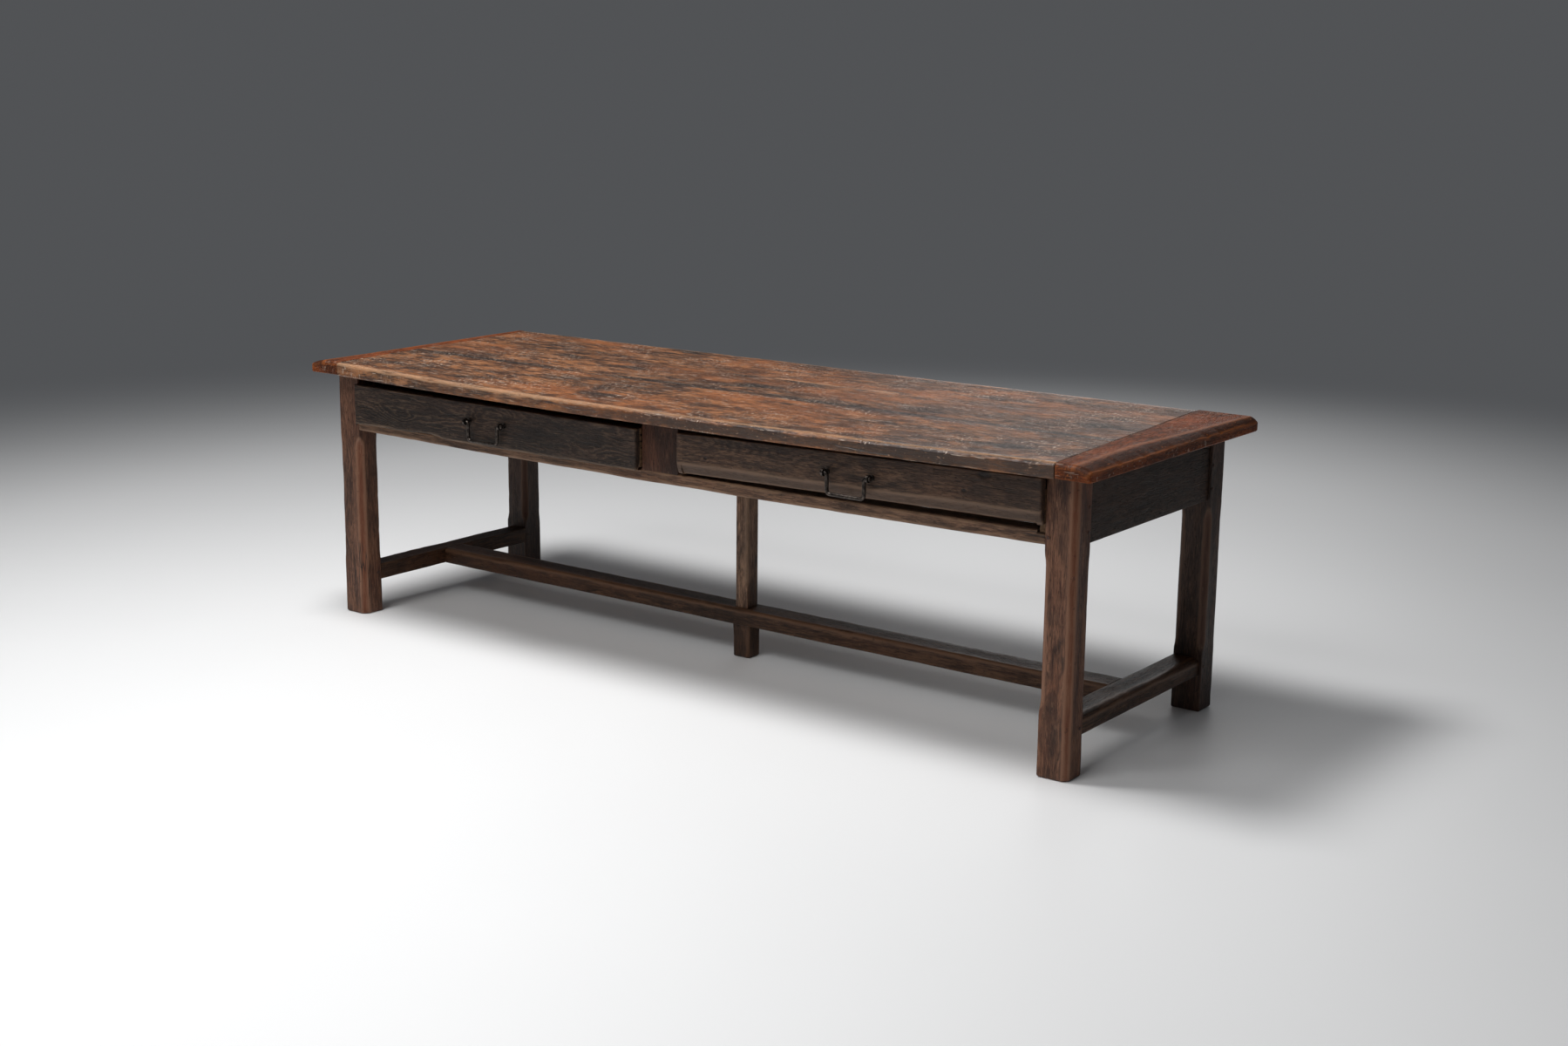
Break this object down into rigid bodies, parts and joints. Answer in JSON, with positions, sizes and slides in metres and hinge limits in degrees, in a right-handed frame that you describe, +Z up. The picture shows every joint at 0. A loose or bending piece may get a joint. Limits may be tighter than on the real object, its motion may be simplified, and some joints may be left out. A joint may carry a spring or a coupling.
{
  "type": "dining table",
  "caption": "Long rustic oak dining table with breadboard ends, drawers under one long side on iron bail pulls, and an H-shaped stretcher frame with a middle post.",
  "frame": {"origin": "centre of the table's base, on the floor under the middle of the top", "axes": "+X along the table's length, -Y out of the drawer side, +Z up"},
  "size_m": [2.57, 0.86, 0.76],
  "materials": {
    "oak_top": "waxed and worn",
    "oak_frame": "dark waxed",
    "oak_drawer_front": "dark waxed",
    "oak_inside": "unfinished",
    "oak_peg": "dark end grain",
    "iron": "forged black"
  },
  "bodies": {
    "table": {"apron_back": "oak_frame", "apron_left": "oak_frame", "apron_pegs": "oak_peg", "apron_right": "oak_frame", "breadboard_left": "oak_top", "breadboard_pegs": "oak_peg", "breadboard_right": "oak_top", "drawer_divider": "oak_frame", "drawer_rail": "oak_frame", "guide_left": "oak_inside", "guide_middle": "oak_inside", "guide_right": "oak_inside", "kicker_left": "oak_inside", "kicker_right": "oak_inside", "leg_back_left": "oak_frame", "leg_back_right": "oak_frame", "leg_front_left": "oak_frame", "leg_front_right": "oak_frame", "middle_bearer": "oak_inside", "middle_foot": "oak_frame", "middle_post": "oak_frame", "rail_pegs": "oak_peg", "runner_left": "oak_inside", "runner_right": "oak_inside", "stretcher_left": "oak_frame", "stretcher_long": "oak_frame", "stretcher_pegs": "oak_peg", "stretcher_right": "oak_frame", "top_bearer": "oak_inside", "top_board_back": "oak_top", "top_board_front": "oak_top", "top_board_middle": "oak_top", "top_pegs": "oak_peg"},
    "drawer_left": {"drawer_left_back": "oak_inside", "drawer_left_bottom": "oak_inside", "drawer_left_eyes": "iron", "drawer_left_front": "oak_drawer_front", "drawer_left_nails": "iron", "drawer_left_roves": "iron", "drawer_left_side_left": "oak_inside", "drawer_left_side_right": "oak_inside"},
    "drawer_right": {"drawer_right_back": "oak_inside", "drawer_right_bottom": "oak_inside", "drawer_right_eyes": "iron", "drawer_right_front": "oak_drawer_front", "drawer_right_nails": "iron", "drawer_right_roves": "iron", "drawer_right_side_left": "oak_inside", "drawer_right_side_right": "oak_inside"},
    "bail_left": {"bail_left": "iron"},
    "bail_right": {"bail_right": "iron"}
  },
  "joints": [
    {"name": "drawer_left_slide", "type": "slide", "parent": "table", "child": "drawer_left", "axis": [0, -1, 0], "range_m": [-0.018, 0.4]},
    {"name": "drawer_right_slide", "type": "slide", "parent": "table", "child": "drawer_right", "axis": [0, -1, 0], "range_m": [-0.018, 0.4]},
    {"name": "bail_left_swing", "type": "hinge", "parent": "drawer_left", "child": "bail_left", "pos_m": [-0.606, -0.413, 0.641], "axis": [-1, 0, 0], "range_deg": [-8, 175]},
    {"name": "bail_right_swing", "type": "hinge", "parent": "drawer_right", "child": "bail_right", "pos_m": [0.614, -0.413, 0.654], "axis": [-1, 0, 0], "range_deg": [-8, 175]}
  ]
}
